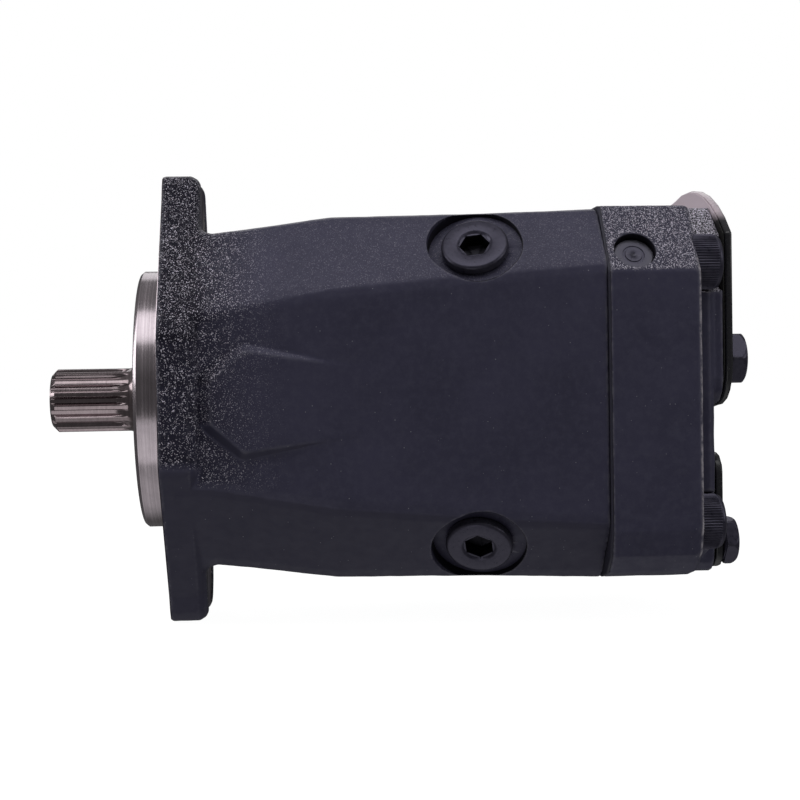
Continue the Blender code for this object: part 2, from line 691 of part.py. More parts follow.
def make_swashplate():
    plate = cylinder("swashplate", CRADLE_R, -CRADLE_HIGH, CRADLE_HIGH, (TILT_X, 0, 0), (0, 0, 1), 28)
    combine(plate, "INTERSECT", cylinder("swashplate_rim", 47, 30, SWASH_FACE, sides=28))
    for number, (y, z) in enumerate(rod_centres(), 1):
        ear = cylinder(f"swashplate_ear_{number}", 6.0, SWASH_FACE - 8, SWASH_FACE, (0, y, z), sides=12)
        join(plate, ear)
    cut(plate, box("swashplate_relief", (30, -60, -CRADLE_LOW), (SWASH_FACE - 15, 60, CRADLE_LOW)),
        cylinder("swashplate_bore", 18.6, 30, 100, sides=24))
    piece(plate, HARDENED)
    for side, low in (("upper", CRADLE_LOW + 0.6), ("lower", -CRADLE_HIGH + 0.2)):
        band = arc_band(CRADLE_R + 0.4, CRADLE_R + 2.7, 142, 218, 12, (TILT_X, 0))
        piece(prism(f"{side}_cradle_bearing", band, low, low + CRADLE_HIGH - CRADLE_LOW - 0.8, "Z"), BRONZE)


def make_control():
    (near_y, near_z), (far_y, far_z) = rod_centres()
    start = SWASH_FACE + GAP
    tip = [(start + 2, ROD_R), (start, 3), (start, 0)]
    control_end, bias_end = PLATE_START + 24, PLATE_START + 2
    piece(turned("control_piston", [(control_end, 0), (control_end, ROD_R), *tip], 16, (0, near_y, near_z)),
          HARDENED)
    piece(turned("bias_piston", [(bias_end, 0), (bias_end, ROD_R), *tip], 16, (0, far_y, far_z)), HARDENED)
    spring = coil("bias_spring", 4.6, 1.1, bias_end + 0.4, PLATE_START + 26.2, 4, (0, far_y, far_z))
    piece(spring, HARDENED)


make_housing()
make_port_plate()
make_port_plate_screws()
make_drain_plugs()
make_gallery_plug()
make_port_cover("suction_cover", SUCTION_FACE, suction_outline, suction_bolts(), 6.8)
make_port_cover("pressure_cover", PRESSURE_FACE, pressure_outline, pressure_bolts(), 5.8)
copies(hex_bolt("suction_cover_bolt", SUCTION_FACE, 19, 6.8, 5.8), BLACK_OXIDE,
       [shift(0, y, z) for y, z in suction_bolts()])
copies(hex_bolt("pressure_cover_bolt", PRESSURE_FACE, 17, 5.6, 4.8), BLACK_OXIDE,
       [shift(0, y, z) for y, z in pressure_bolts()])
make_shaft()
make_seal()
make_bearings()
make_block()
make_pistons()
make_slippers()
make_retainer()
make_valve_plate()
make_swashplate()
make_control()
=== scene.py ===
"""The looks of the axial piston pump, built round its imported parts.

X runs along the shaft, from the splined end to the ports, and Z is up. Lengths here are in millimetres, as in
the part's own source, and the helpers turn them into metres.
"""

import math

import bmesh
import bpy
from mathutils import Matrix, Vector


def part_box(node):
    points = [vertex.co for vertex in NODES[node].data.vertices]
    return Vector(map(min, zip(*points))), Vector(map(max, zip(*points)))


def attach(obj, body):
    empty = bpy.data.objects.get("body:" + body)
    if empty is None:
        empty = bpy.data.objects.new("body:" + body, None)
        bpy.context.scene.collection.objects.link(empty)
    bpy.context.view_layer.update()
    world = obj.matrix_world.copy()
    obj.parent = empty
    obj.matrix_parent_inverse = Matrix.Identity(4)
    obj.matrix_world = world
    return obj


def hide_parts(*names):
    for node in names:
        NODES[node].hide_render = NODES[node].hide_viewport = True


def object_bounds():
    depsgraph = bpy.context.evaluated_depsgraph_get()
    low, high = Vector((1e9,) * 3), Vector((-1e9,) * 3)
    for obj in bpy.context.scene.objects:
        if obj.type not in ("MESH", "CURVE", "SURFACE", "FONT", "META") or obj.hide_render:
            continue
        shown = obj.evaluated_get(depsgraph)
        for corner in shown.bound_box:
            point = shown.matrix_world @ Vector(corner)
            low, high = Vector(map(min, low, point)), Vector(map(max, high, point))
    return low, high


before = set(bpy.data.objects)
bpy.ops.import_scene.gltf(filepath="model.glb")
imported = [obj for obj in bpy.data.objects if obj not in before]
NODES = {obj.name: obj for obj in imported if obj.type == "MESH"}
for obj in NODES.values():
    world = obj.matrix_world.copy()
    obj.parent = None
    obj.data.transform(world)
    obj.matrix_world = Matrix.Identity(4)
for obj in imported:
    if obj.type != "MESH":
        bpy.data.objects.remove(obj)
CAD_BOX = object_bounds()
MM = 0.001

# the drain plugs and the gallery plug lie on slanted faces, so their seats are repeated from the part;
# both recesses are cut a little wider and deeper than the part's own
PLUG_PLACE = (117.0, -50.3, 56.7)
PLUG_DEPTH = 4.0
PLUG_RECESS_R = 17.75
PLUG_ELEVATION = 40.0
PLUG_LEAN = 10.0
GALLERY_PLACE = (176.0, -56.5, 53.2)
GALLERY_FACING = (0.0, -0.829, 0.560)
GALLERY_DEPTH = 3.6
GALLERY_R = 7.8
RECESS_SPARE = 0.1

SPIGOT_R = 50.8
SPIGOT_FRONT = -9.7
FACE_SKIN = 0.2  # thickness of the flange's machined skin
SEAL_BORE_R = 20.0
BOLT_HOLE_UP = 73.0
SPOT_FACE_R = 15.4
SPOT_FACE_X = 14.3
SEAM_X = 164.5
PLATE_REAR = 200.0

SHAFT_END = -46.0
TIP_R = 12.49
ROOT_R = 10.9
SEAT_R = 15.0
SPLINE_TEETH = 15

GRAIN_START, GRAIN_FULL = 56.0, 12.0  # the paint's coarse grain builds up between these, towards the flange
COVER_TOP_LOW, COVER_TOP_HIGH = 67.0, 71.0  # painted light rises in this band, at the suction cover's top
# the colour of the painted light at the suction cover's top
TOP_LIGHT_COLOUR = (0.72, 0.61, 0.67)

VOXEL = 0.65


# ---------------------------------------------------------------- node graphs


class Graph:
    """A tree of shader nodes. Each method but feed adds a step and returns what it gives."""

    def __init__(self, tree):
        self.nodes = tree.nodes
        self.links = tree.links
        self.texture = self.nodes.new("ShaderNodeTexCoord")

    def node(self, kind, inputs, output=0, **settings):
        """Adds a node and returns one of its outputs, or the node itself when output is None."""
        made = self.nodes.new("ShaderNode" + kind)
        for key, value in settings.items():
            setattr(made, key, value)
        for key, value in inputs.items():
            self.feed(made.inputs[key], value)
        return made if output is None else made.outputs[output]

    def feed(self, socket, value):
        if isinstance(value, bpy.types.NodeSocket):
            self.links.new(value, socket)
        else:
            socket.default_value = value

    def maths(self, operation, first, second=0.0):
        return self.node("Math", {0: first, 1: second}, operation=operation)

    def times(self, first, second):
        return self.maths("MULTIPLY", first, second)

    def level(self, value, low, high, to_low=0.0, to_high=1.0):
        inputs = {"Value": value, "From Min": low, "From Max": high, "To Min": to_low, "To Max": to_high}
        return self.node("MapRange", inputs)

    def parts(self, vector):
        """A vector's X, Y and Z."""
        return tuple(self.node("SeparateXYZ", {0: vector}, output=None).outputs)

    def length(self, vector):
        return self.node("VectorMath", {0: vector}, output="Value", operation="LENGTH")


class Finish(Graph):
    """A material's node graph, with its shader and the place of each point on the piece."""

    def __init__(self, name, colour, roughness, metallic=0.0):
        self.material = bpy.data.materials.new(name)
        self.material.use_nodes = True
        super().__init__(self.material.node_tree)
        self.shader = self.nodes["Principled BSDF"]
        self.shader.inputs["Base Color"].default_value = (*colour, 1)
        self.shader.inputs["Roughness"].default_value = roughness
        self.shader.inputs["Metallic"].default_value = metallic
        self.place = self.texture.outputs["Object"]
        self.x, self.y, self.z = self.parts(self.place)

    def facing(self):
        """The X, Y and Z of the way that the surface faces."""
        return self.parts(self.texture.outputs["Normal"])

    def edges(self, low, high, to_high=1.0):
        """Rises along the sharp edges, where paint wears off first."""
        return self.level(self.node("NewGeometry", {}, output="Pointiness"), low, high, 0.0, to_high)

    def noise(self, size, detail=2.0, roughness=0.5, vector=None):
        """Soft noise with features of about the given size, in millimetres."""
        settings = {"Vector": vector or self.place, "Scale": 1 / (size * MM), "Detail": detail,
                    "Roughness": roughness}
        return self.node("TexNoise", settings)

    def specks(self, size, share):
        """Tiny round spots, one in each cell of the given size, with a radius of that share of it."""
        distance = self.node("TexVoronoi", {"Vector": self.place, "Scale": 1 / (size * MM)})
        return self.level(distance, share, share * 0.5)

    def blend(self, factor, first, second):
        """Blends two numbers, which a Mix node takes in its sockets 2 and 3."""
        return self.node("Mix", {0: factor, 2: first, 3: second})

    def mix(self, factor, first, second):
        """Blends two colours, which a Mix node takes in its sockets 6 and 7 and gives in its output 2."""
        sockets = {0: factor}
        for key, colour in ((6, first), (7, second)):
            sockets[key] = colour if isinstance(colour, bpy.types.NodeSocket) else (*colour, 1)
        return self.node("Mix", sockets, output=2, data_type="RGBA")

    def lathe(self):
        """A texture vector of the distance along X and the distance from its axis."""
        radius = self.length(self.node("CombineXYZ", {1: self.y, 2: self.z}))
        return self.node("CombineXYZ", {0: self.x, 1: radius})

    def bump(self, height, distance, strength=1.0, normal=None):
        inputs = {"Height": height, "Distance": distance * MM, "Strength": strength}
        if normal:
            inputs["Normal"] = normal
        return self.node("Bump", inputs)

    def wire(self, name, value):
        """Feeds one of the shader's inputs; unlike the other methods, it gives nothing."""
        self.feed(self.shader.inputs[name], value)

    def wired(self, name):
        """The socket that already feeds one of the shader's inputs."""
        return self.shader.inputs[name].links[0].from_socket


# ---------------------------------------------------------------- camera, light and floor


def make_camera():
    """Looks along +Y at the pump's side, from 0.59 m away and slightly above the shaft."""
    place = Vector((48.389, -586.035, 11.558)) * MM
    aim = Vector((92.165, 0.0, -2.118)) * MM
    roll = math.radians(-0.926)
    forward = (aim - place).normalized()
    right = forward.cross(Vector((0, 0, 1))).normalized()
    up = right.cross(forward)
    turned_right = math.cos(roll) * right + math.sin(roll) * up
    turned_up = math.cos(roll) * up - math.sin(roll) * right
    data = bpy.data.cameras.new("camera")
    data.lens = 65.285
    data.sensor_width = 36.0
    data.clip_start = 0.01
    data.clip_end = 50.0
    camera = bpy.data.objects.new("camera", data)
    bpy.context.scene.collection.objects.link(camera)
    axes = Matrix((turned_right, turned_up, -forward)).transposed()
    camera.matrix_world = Matrix.Translation(place) @ axes.to_4x4()
    bpy.context.scene.camera = camera


def softbox(name, place, aim, width, height, radiance):
    """A rectangular light of an even brightness, turned to face a point; lengths in metres."""
    data = bpy.data.lights.new(name, "AREA")
    data.shape = "RECTANGLE"
    data.size = width
    data.size_y = height
    data.energy = radiance * math.pi * width * height
    light = bpy.data.objects.new(name, data)
    bpy.context.scene.collection.objects.link(light)
    light.location = place
    light.rotation_mode = "QUATERNION"
    light.rotation_quaternion = (Vector(aim) - Vector(place)).to_track_quat("-Z", "Y")
    light.visible_camera = False


def make_lights():
    """A large light high in front, a card low on the left, and one light each from the left, right and rear."""
    middle = (0.10, 0.0, 0.0)
    softbox("high_front_light", (0.10, -0.42, 1.00), (0.09, 0.0, 0.0), width=1.3, height=0.62, radiance=1.50)
    softbox("low_left_card", (-0.19, -0.68, -0.50), (0.0, 0.0, -0.02), width=0.36, height=0.62, radiance=0.80)
    softbox("left_light", (-1.20, 0.05, 0.50), middle, width=0.8, height=0.7, radiance=3.0)
    softbox("right_light", (1.20, -0.60, 0.42), middle, width=0.6, height=0.6, radiance=1.5)
    softbox("back_light", (0.10, 1.10, 0.75), middle, width=1.2, height=0.6, radiance=0.9)


def make_world():
    """A white backdrop that lights the pump only dimly, a little more from below and from overhead."""
    world = bpy.data.worlds.new("studio")
    world.use_nodes = True
    made = Graph(world.node_tree)
    backdrop = made.nodes["Background"]
    backdrop.inputs["Color"].default_value = (1.0, 1.0, 1.0, 1)
    _, _, height = made.parts(made.texture.outputs["Generated"])
    below = made.level(height, -0.72, -0.97, 0.0, 0.42)
    above = made.level(height, 0.35, 0.85, 0.095, 0.24)
    dim = made.maths("ADD", below, above)
    seen = made.node("LightPath", {}, output="Is Camera Ray")
    made.feed(backdrop.inputs["Strength"], made.level(seen, 0.0, 1.0, dim, 1.0))
    bpy.context.scene.world = world


def make_floor():
    """A white floor just under the pump, which neither lights it nor is mirrored in it; lengths in metres."""
    low, _ = CAD_BOX
    reach, gap = 6.0, 0.0006
    mesh = bpy.data.meshes.new("floor")
    corners = [(-reach, -reach, 0), (reach, -reach, 0), (reach, reach, 0), (-reach, reach, 0)]
    mesh.from_pydata(corners, [], [(0, 1, 2, 3)])
    floor = bpy.data.objects.new("floor", mesh)
    floor.location = (0, 0, low.z - gap)
    bpy.context.scene.collection.objects.link(floor)
    pale = bpy.data.materials.new("pale_floor")
    pale.use_nodes = True
    shader = pale.node_tree.nodes["Principled BSDF"]
    shader.inputs["Base Color"].default_value = (0.22, 0.22, 0.22, 1)
    shader.inputs["Roughness"].default_value = 0.9
    shader.inputs["Specular IOR Level"].default_value = 0.0
    shader.inputs["Emission Color"].default_value = (1, 1, 1, 1)
    shader.inputs["Emission Strength"].default_value = 0.98
    mesh.materials.append(pale)
    floor.visible_diffuse = False
    floor.visible_glossy = False
    floor.visible_shadow = False


# ---------------------------------------------------------------- materials


def casting_finish(name, facet_grain):
    """Satin blue-black paint on cast iron, with coarse grain by the flange and on slanted faces, and painted
    glints on that grain where it faces up.
    """
    made = Finish(name, (0.049, 0.046, 0.084), 0.48)
    made.wire("Specular Tint", (0.84, 0.81, 1.0, 1))
    _, facing_y, facing_z = made.facing()
    upward = made.level(facing_z, -0.28, 0.10)
    front = made.level(made.x, GRAIN_START * MM, GRAIN_FULL * MM)
    front = made.times(front, front)
    slant = made.times(made.level(facing_y, -0.97, -0.88), made.level(facing_z, 0.1, 0.4))
    slant = made.times(slant, facet_grain)
    boss = made.level(made.x, PLATE_REAR * MM, (PLATE_REAR + 1.2) * MM)
    boss = made.times(boss, made.level(facing_z, 0.25, 0.5))
    patches = made.noise(24.0, 2.0)
    rough = made.maths("MAXIMUM", made.maths("MAXIMUM", front, slant), boss)
    rough = made.times(rough, made.level(patches, 0.30, 0.50, 0.75, 1.0))
    strength = made.times(rough, upward)
    made.wire("Specular IOR Level", made.level(strength, 0.0, 1.0, 0.38, 0.15))

    pebbles = made.noise(1.3, 4.0, 0.62)
    grit = made.noise(0.42, 1.0, 0.5)
    swell = made.noise(8.0, 2.0)
    height = made.maths("ADD", made.times(pebbles, 0.6), made.times(grit, 0.4))
    height = made.times(height, made.level(strength, 0.0, 1.0, 0.12, 1.0))
    normal = made.bump(swell, 0.4, 0.5)
    normal = made.bump(height, 0.36, 1.0, normal)
    made.wire("Normal", normal)

    # painted glints in the base colour, where the grain would catch the light from above, and a little dust and
    # scuffing on the flats
    sparkle = made.maths("ADD", made.times(grit, 0.7), made.times(pebbles, 0.3))
    denser = made.maths("MAXIMUM", made.times(boss, 0.085), made.times(slant, 0.125))
    painted_glint = made.level(made.maths("ADD", sparkle, denser), 0.580, 0.640)
    painted_glint = made.times(painted_glint, made.level(strength, 0.02, 0.60))
    dust = made.times(made.specks(2.6, 0.085), made.level(made.noise(9.0, 3.0), 0.46, 0.60))
    scuffs = made.level(made.noise(3.2, 5.0, 0.7), 0.44, 0.68, 0.0, 0.55)
    worn = made.edges(0.508, 0.550)
    worn = made.times(worn, made.level(made.noise(3.0, 3.0), 0.38, 0.62, 0.15, 0.9))

    colour = made.mix(made.level(patches, 0.3, 0.7), (0.050, 0.048, 0.083), (0.062, 0.059, 0.101))
    colour = made.mix(scuffs, colour, (0.082, 0.080, 0.122))
    # painted shade: the housing's faces that face down are darker, up to the seam
    before_seam = made.level(made.x, (SEAM_X + 0.5) * MM, (SEAM_X - 0.5) * MM)
    under = made.times(made.level(facing_z, -0.30, -0.50), before_seam)
    colour = made.mix(under, colour, (0.038, 0.036, 0.064))
    # rough faces that face up get a much darker base colour: painted shade between the painted glints
    colour = made.mix(made.level(strength, 0.15, 0.9, 0.0, 0.90), colour, (0.006, 0.0055, 0.011))
    colour = made.mix(painted_glint, colour, (0.92, 0.87, 1.00))
    colour = made.mix(worn, colour, (0.17, 0.165, 0.20))
    colour = made.mix(made.times(dust, 0.6), colour, (0.50, 0.50, 0.55))
    made.wire("Base Color", colour)
    made.wire("Roughness", made.level(made.noise(4.0, 4.0, 0.6), 0.35, 0.65, 0.42, 0.54))
    return made


def with_painted_recess_shade(made, place, direction, radius):
    """Painted shade on the walls of the round recess at a place, and of its mirror image below the shaft."""
    point = made.node("CombineXYZ", {0: made.x, 1: made.y, 2: made.maths("ABSOLUTE", made.z)})
    offset = made.node("VectorMath", {0: point, 1: tuple(Vector(place) * MM)}, operation="SUBTRACT")
    along = made.node("VectorMath", {0: offset, 1: direction}, output="Value", operation="DOT_PRODUCT")
    reach = made.length(offset)
    radial = made.maths("SQRT", made.maths("SUBTRACT", made.times(reach, reach), made.times(along, along)))
    wall = made.times(made.level(radial, (radius - 0.3) * MM, (radius - 0.15) * MM),
                      made.level(radial, (radius + 0.3) * MM, (radius + 0.15) * MM))
    wall = made.times(wall, made.level(along, -0.1 * MM, -0.5 * MM))
    # painted shade: the recess walls are darkened in the base colour
    made.wire("Base Color", made.mix(wall, made.wired("Base Color"), (0.007, 0.0065, 0.010)))


def with_rubbed_edge(made):
    """Bare iron showing along the near rear edge of the port plate, where the paint has rubbed off."""
    facing_x, _, _ = made.facing()
    edge = made.times(made.level(facing_x, 0.35, 0.60), made.level(facing_x, 0.995, 0.95))
    rear = made.level(made.x, 197.8 * MM, 198.2 * MM)
    near = made.level(made.y, -57.0 * MM, -58.5 * MM)
    patchy = made.level(made.noise(2.6, 3.0, 0.6), 0.38, 0.62, 0.1, 0.8)
    rubbed = made.times(made.times(edge, near), made.times(rear, patchy))
    made.wire("Base Color", made.mix(rubbed, made.wired("Base Color"), (0.62, 0.58, 0.62)))


def with_machined_spots(made):
    """Bare iron on the flange's spot faces and in its bolt holes."""
    up = made.maths("SUBTRACT", made.maths("ABSOLUTE", made.z), BOLT_HOLE_UP * MM)
    reach = made.length(made.node("CombineXYZ", {0: made.y, 1: up}))
    inside = made.level(reach, SPOT_FACE_R * MM, (SPOT_FACE_R - 0.3) * MM)
    behind = made.level(made.x, SPOT_FACE_X * MM, (SPOT_FACE_X - 0.2) * MM)
    bare_iron_and_painted_light = made.times(inside, behind)
    rings = made.noise(1.0, 1.0, 0.5, made.node("CombineXYZ", {0: made.times(reach, 2.2)}))
    made.wire("Base Color", made.mix(bare_iron_and_painted_light, made.wired("Base Color"), (0.36, 0.34, 0.33)))
    made.wire("Metallic", bare_iron_and_painted_light)
    ground = made.level(rings, 0.3, 0.7, 0.24, 0.40)
    made.wire("Roughness", made.blend(bare_iron_and_painted_light, made.wired("Roughness"), ground))


def towards_cover_top(made, cloudy):
    """Rises to the top of the suction cover, along a ragged line."""
    height = made.maths("ADD", made.z, made.times(cloudy, 3 * MM))
    return made.level(height, COVER_TOP_LOW * MM, COVER_TOP_HIGH * MM)


def cover_finish():
    """Semi-gloss paint on sheet steel, with painted light on the edge and the inner face at the very top."""
    made = Finish("cover_paint", (0.014, 0.013, 0.018), 0.26)
    cloudy = made.noise(6.0, 3.0)
    worn = made.edges(0.52, 0.62, 0.7)
    colour = made.mix(made.level(cloudy, 0.3, 0.7), (0.010, 0.0095, 0.013), (0.018, 0.017, 0.022))
    colour = made.mix(worn, colour, (0.09, 0.09, 0.10))
    dust = made.times(made.specks(2.4, 0.09), made.level(made.noise(7.0, 2.0), 0.52, 0.62))
    facing_x, _, _ = made.facing()
    # painted light on the edge and the inner face at the very top
    bare_iron_and_painted_light = made.times(towards_cover_top(made, cloudy), made.level(facing_x, 0.7, 0.4))
    colour = made.mix(made.times(dust, 0.7), colour, (0.35, 0.35, 0.36))
    made.wire("Base Color", made.mix(bare_iron_and_painted_light, colour, TOP_LIGHT_COLOUR))
    made.wire("Roughness", made.level(made.noise(2.0, 3.0), 0.3, 0.7, 0.20, 0.32))
    made.wire("Normal", made.bump(made.noise(1.6, 3.0, 0.6), 0.05))
    return made.material


def turned_finish(name, colour, low, high, mark=0.03):
    """Bare metal off a lathe, with fine rings round the shaft's axis."""
    made = Finish(name, colour, (low + high) / 2, 1.0)
    turned = made.lathe()
    fine = made.noise(0.16, 2.0, 0.6, turned)
    broad = made.noise(1.1, 2.0, 0.5, turned)
    stain = made.noise(5.0, 4.0, 0.6)
    lines = made.maths("ADD", made.times(fine, 0.6), made.times(broad, 0.4))
    darker = tuple(0.68 * c for c in colour)
    tint = made.mix(made.level(lines, 0.38, 0.62), darker, colour)
    pits = made.times(made.specks(1.9, 0.10), made.level(stain, 0.52, 0.60))
    tint = made.mix(made.level(stain, 0.42, 0.72, 0.0, 0.35), tint, tuple(0.55 * c for c in colour))
    made.wire("Base Color", made.mix(made.times(pits, 0.8), tint, (0.06, 0.055, 0.05)))
    made.wire("Roughness", made.level(lines, 0.35, 0.65, low, high))
    made.wire("Normal", made.bump(lines, mark))
    return made.material


def oxide_finish(name, socket_r=None):
    """Black oxide, worn bright along its edges, with painted shade down a socket of a given radius."""
    made = Finish(name, (0.040, 0.038, 0.056), 0.30, 0.4)
    made.wire("Specular Tint", (0.85, 0.82, 1.0, 1))
    cloudy = made.noise(1.8, 4.0, 0.6)
    worn = made.edges(0.53, 0.64, 0.65)
    colour = made.mix(made.level(cloudy, 0.3, 0.7), (0.038, 0.036, 0.056), (0.064, 0.060, 0.088))
    colour = made.mix(worn, colour, (0.15, 0.15, 0.155))
    if socket_r:
        # painted shade down the socket, from about a millimetre below its mouth
        reach = made.length(made.node("CombineXYZ", {1: made.y, 2: made.z}))
        socket_shade = made.times(made.level(reach, socket_r * MM, (socket_r - 0.2) * MM),
                          made.level(made.x, -0.9 * MM, -1.6 * MM))
        colour = made.mix(socket_shade, colour, (0.004, 0.004, 0.006))
    made.wire("Base Color", colour)
    made.wire("Roughness", made.level(cloudy, 0.3, 0.7, 0.26, 0.38))
    made.wire("Normal", made.bump(made.noise(0.5, 3.0, 0.6), 0.02))
    return made.material


def plain_finish(name, colour, roughness, metallic, grain, depth):
    """Simple stock: an even colour with slight clouds and a fine surface grain of the given size."""
    made = Finish(name, colour, roughness, metallic)
    cloudy = made.noise(grain * 4, 3.0)
    made.wire("Base Color", made.mix(made.level(cloudy, 0.3, 0.7), tuple(0.75 * c for c in colour), colour))
    made.wire("Roughness", made.level(cloudy, 0.3, 0.7, roughness * 0.85, min(1.0, roughness * 1.15)))
    made.wire("Normal", made.bump(made.noise(grain, 3.0), depth))
    return made.material


def gasket_finish():
    """Dark gasket paper, with painted light where it stands proud at the top of the suction cover."""
    made = Finish("gasket_paper", (0.020, 0.019, 0.018), 0.85)
    # painted light on the gasket where it stands proud at the cover's top
    lit_gasket_top = towards_cover_top(made, made.noise(1.4, 3.0))
    made.wire("Base Color", made.mix(lit_gasket_top, (0.020, 0.019, 0.018), TOP_LIGHT_COLOUR))
    made.wire("Normal", made.bump(made.noise(0.35, 3.0), 0.05))
    return made.material


def plug_direction(up):
    """The way a drain plug faces; up is 1 for the upper plug and -1 for the lower one."""
    lean, elevation = math.radians(PLUG_LEAN), math.radians(PLUG_ELEVATION)
    return (-math.sin(lean), -math.cos(lean) * math.cos(elevation), up * math.cos(lean) * math.sin(elevation))


def housing_finish():
    made = casting_finish("housing_paint", 0.10)
    with_painted_recess_shade(made, PLUG_PLACE, plug_direction(1), PLUG_RECESS_R)
    with_machined_spots(made)
    return made.material


def port_plate_finish():
    made = casting_finish("port_plate_paint", 0.42)
    with_painted_recess_shade(made, GALLERY_PLACE, GALLERY_FACING, GALLERY_R)
    with_rubbed_edge(made)
    return made.material


HOUSING_PAINT = housing_finish()
PLATE_PAINT = port_plate_finish()
COVER_PAINT = cover_finish()
MACHINED_IRON = turned_finish("machined_iron", (0.57, 0.50, 0.54), 0.16, 0.26, 0.008)
SHAFT_STEEL = turned_finish("turned_steel", (0.37, 0.305, 0.320), 0.12, 0.20, 0.004)
HARD_STEEL = turned_finish("hardened_steel", (0.38, 0.38, 0.385), 0.16, 0.26, 0.01)
OXIDE = oxide_finish("black_oxide")
PLUG_OXIDE = oxide_finish("plug_oxide", 6.3)
BRONZE = turned_finish("bronze", (0.48, 0.30, 0.12), 0.26, 0.40, 0.02)
RUBBER = plain_finish("seal_rubber", (0.016, 0.016, 0.016), 0.62, 0.0, 0.5, 0.03)
PAINTED_PAPER = plain_finish("painted_paper", (0.034, 0.032, 0.056), 0.6, 0.0, 0.35, 0.05)
PAPER = gasket_finish()


# ---------------------------------------------------------------- building helpers


def add_piece(name, mesh, finish, replaced, body="case", matrix=None, sharp=35):
    """Shows a mesh as a piece of the pump that stands for the named nodes."""
    made = bpy.data.objects.new(name, mesh)
    bpy.context.scene.collection.objects.link(made)
    made.matrix_world = matrix or Matrix.Identity(4)
    mesh.materials.clear()
    mesh.materials.append(finish)
    mesh.shade_smooth()
    mesh.set_sharp_from_angle(angle=math.radians(sharp))
    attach(made, body)
    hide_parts(*replaced)


def clean_copy(node, merge_flats=True):
    """A node's mesh with its points welded and, if asked, its flat faces made whole."""
    work = bmesh.new()
    work.from_mesh(NODES[node].data)
    bmesh.ops.remove_doubles(work, verts=work.verts, dist=1e-6)
    if merge_flats:
        bmesh.ops.dissolve_limit(work, angle_limit=math.radians(0.4), verts=work.verts, edges=work.edges)
    mesh = bpy.data.meshes.new(node + "_copy")
    work.to_mesh(mesh)
    work.free()
    if "custom_normal" in mesh.attributes:
        mesh.attributes.remove(mesh.attributes["custom_normal"])
    return mesh


def settled(made):
    """An object's mesh with its modifiers worked out, after which the object is removed."""
    mesh = bpy.data.meshes.new_from_object(made.evaluated_get(bpy.context.evaluated_depsgraph_get()))
    bpy.data.objects.remove(made)
    return mesh


def loose(name, mesh):
    """An object that is on its way to become a piece, or that only cuts one."""
    made = bpy.data.objects.new(name, mesh)
    bpy.context.scene.collection.objects.link(made)
    return made


def block(low, high):
    """A box mesh between two corners, in millimetres."""
    middle = (Vector(low) + Vector(high)) / 2 * MM
    size = (Vector(high) - Vector(low)) * MM
    work = bmesh.new()
    bmesh.ops.create_cube(work, size=1, matrix=Matrix.Translation(middle) @ Matrix.Diagonal((*size, 1)))
    mesh = bpy.data.meshes.new("block")
    work.to_mesh(mesh)
    work.free()
    return mesh


def shell(name, rings, count, hollow=False):
    """A closed skin round X through rings, each a distance and a radius that may depend on the angle.

    Its ends are capped, unless it is hollow: then its last ring joins its first.
    """
    work = bmesh.new()
    loops = []
    for distance, radius in rings:
        loop = []
        for i in range(count):
            angle = 2 * math.pi * i / count
            reach = radius(angle) if callable(radius) else radius
            place = Vector((distance, reach * math.cos(angle), reach * math.sin(angle)))
            loop.append(work.verts.new(place * MM))
        loops.append(loop)
    followers = loops[1:] + loops[:1] if hollow else loops[1:]
    for first, second in zip(loops, followers):
        for i in range(count):
            work.faces.new((first[i - 1], first[i], second[i], second[i - 1]))
    if not hollow:
        caps = [work.faces.new(loops[0]), work.faces.new(loops[-1])]
        bmesh.ops.poke(work, faces=caps)
    bmesh.ops.recalc_face_normals(work, faces=work.faces)
    mesh = bpy.data.meshes.new(name)
    work.to_mesh(mesh)
    work.free()
    return mesh


def hexagon(across_flats, turn=0.0):
    """A hexagon's radius at an angle, with a corner at the turn, in degrees."""
    def radius(angle):
        step = (angle - math.radians(turn)) % (math.pi / 3) - math.pi / 6
        return across_flats / 2 / math.cos(step)
    return radius


def toothed(teeth, root_r, tip_r, root_half, tip_half):
    """A spline's radius at an angle; each tooth's half widths at its root and tip are in degrees."""
    def radius(angle):
        pitch = 360 / teeth
        off = abs((math.degrees(angle) + pitch / 2) % pitch - pitch / 2)
        share = min(1.0, max(0.0, (off - tip_half) / (root_half - tip_half)))
        return tip_r + (root_r - tip_r) * share * share * (3 - 2 * share)
    return radius


def knurled(ridges, root_r, tip_r):
    """A knurled rim's radius at an angle."""
    return lambda angle: root_r + (tip_r - root_r) * (0.5 + 0.5 * math.cos(ridges * angle))


def capped(shape, limit):
    """A shape's radius at an angle, held under a limit."""
    return lambda angle: min(shape(angle), limit)


def facing(place, direction):
    """Carries +X onto a direction, at a place in millimetres."""
    turn = Vector((1, 0, 0)).rotation_difference(Vector(direction)).to_matrix().to_4x4()
    return Matrix.Translation(Vector(place) * MM) @ turn


def middle_of(node):
    low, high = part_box(node)
    return (low + high) / 2 / MM


def onto_axis_of(node):
    """Carries a piece that is built round X onto the node's own axis."""
    middle = middle_of(node)
    return Matrix.Translation(Vector((0, middle.y, middle.z)) * MM)


# ---------------------------------------------------------------- castings


def trimmed(made, cutters, solver):
    """Cuts each helper mesh from an object through modifiers; the helpers are to be removed afterwards."""
    helpers = []
    for number, mesh in enumerate(cutters):
        helpers.append(loose(f"{made.name}_cutter_{number}", mesh))
        cut = made.modifiers.new("cut", "BOOLEAN")
        cut.operation = "DIFFERENCE"
        cut.solver = solver
        cut.object = helpers[-1]
    return helpers


def recess(radius, depth, matrix):
    """A round cutter that ends flat at the depth below a face."""
    well_outside = 12
    mesh = shell("recess", [(-depth, radius), (well_outside, radius)], 96)
    mesh.transform(matrix)
    return mesh


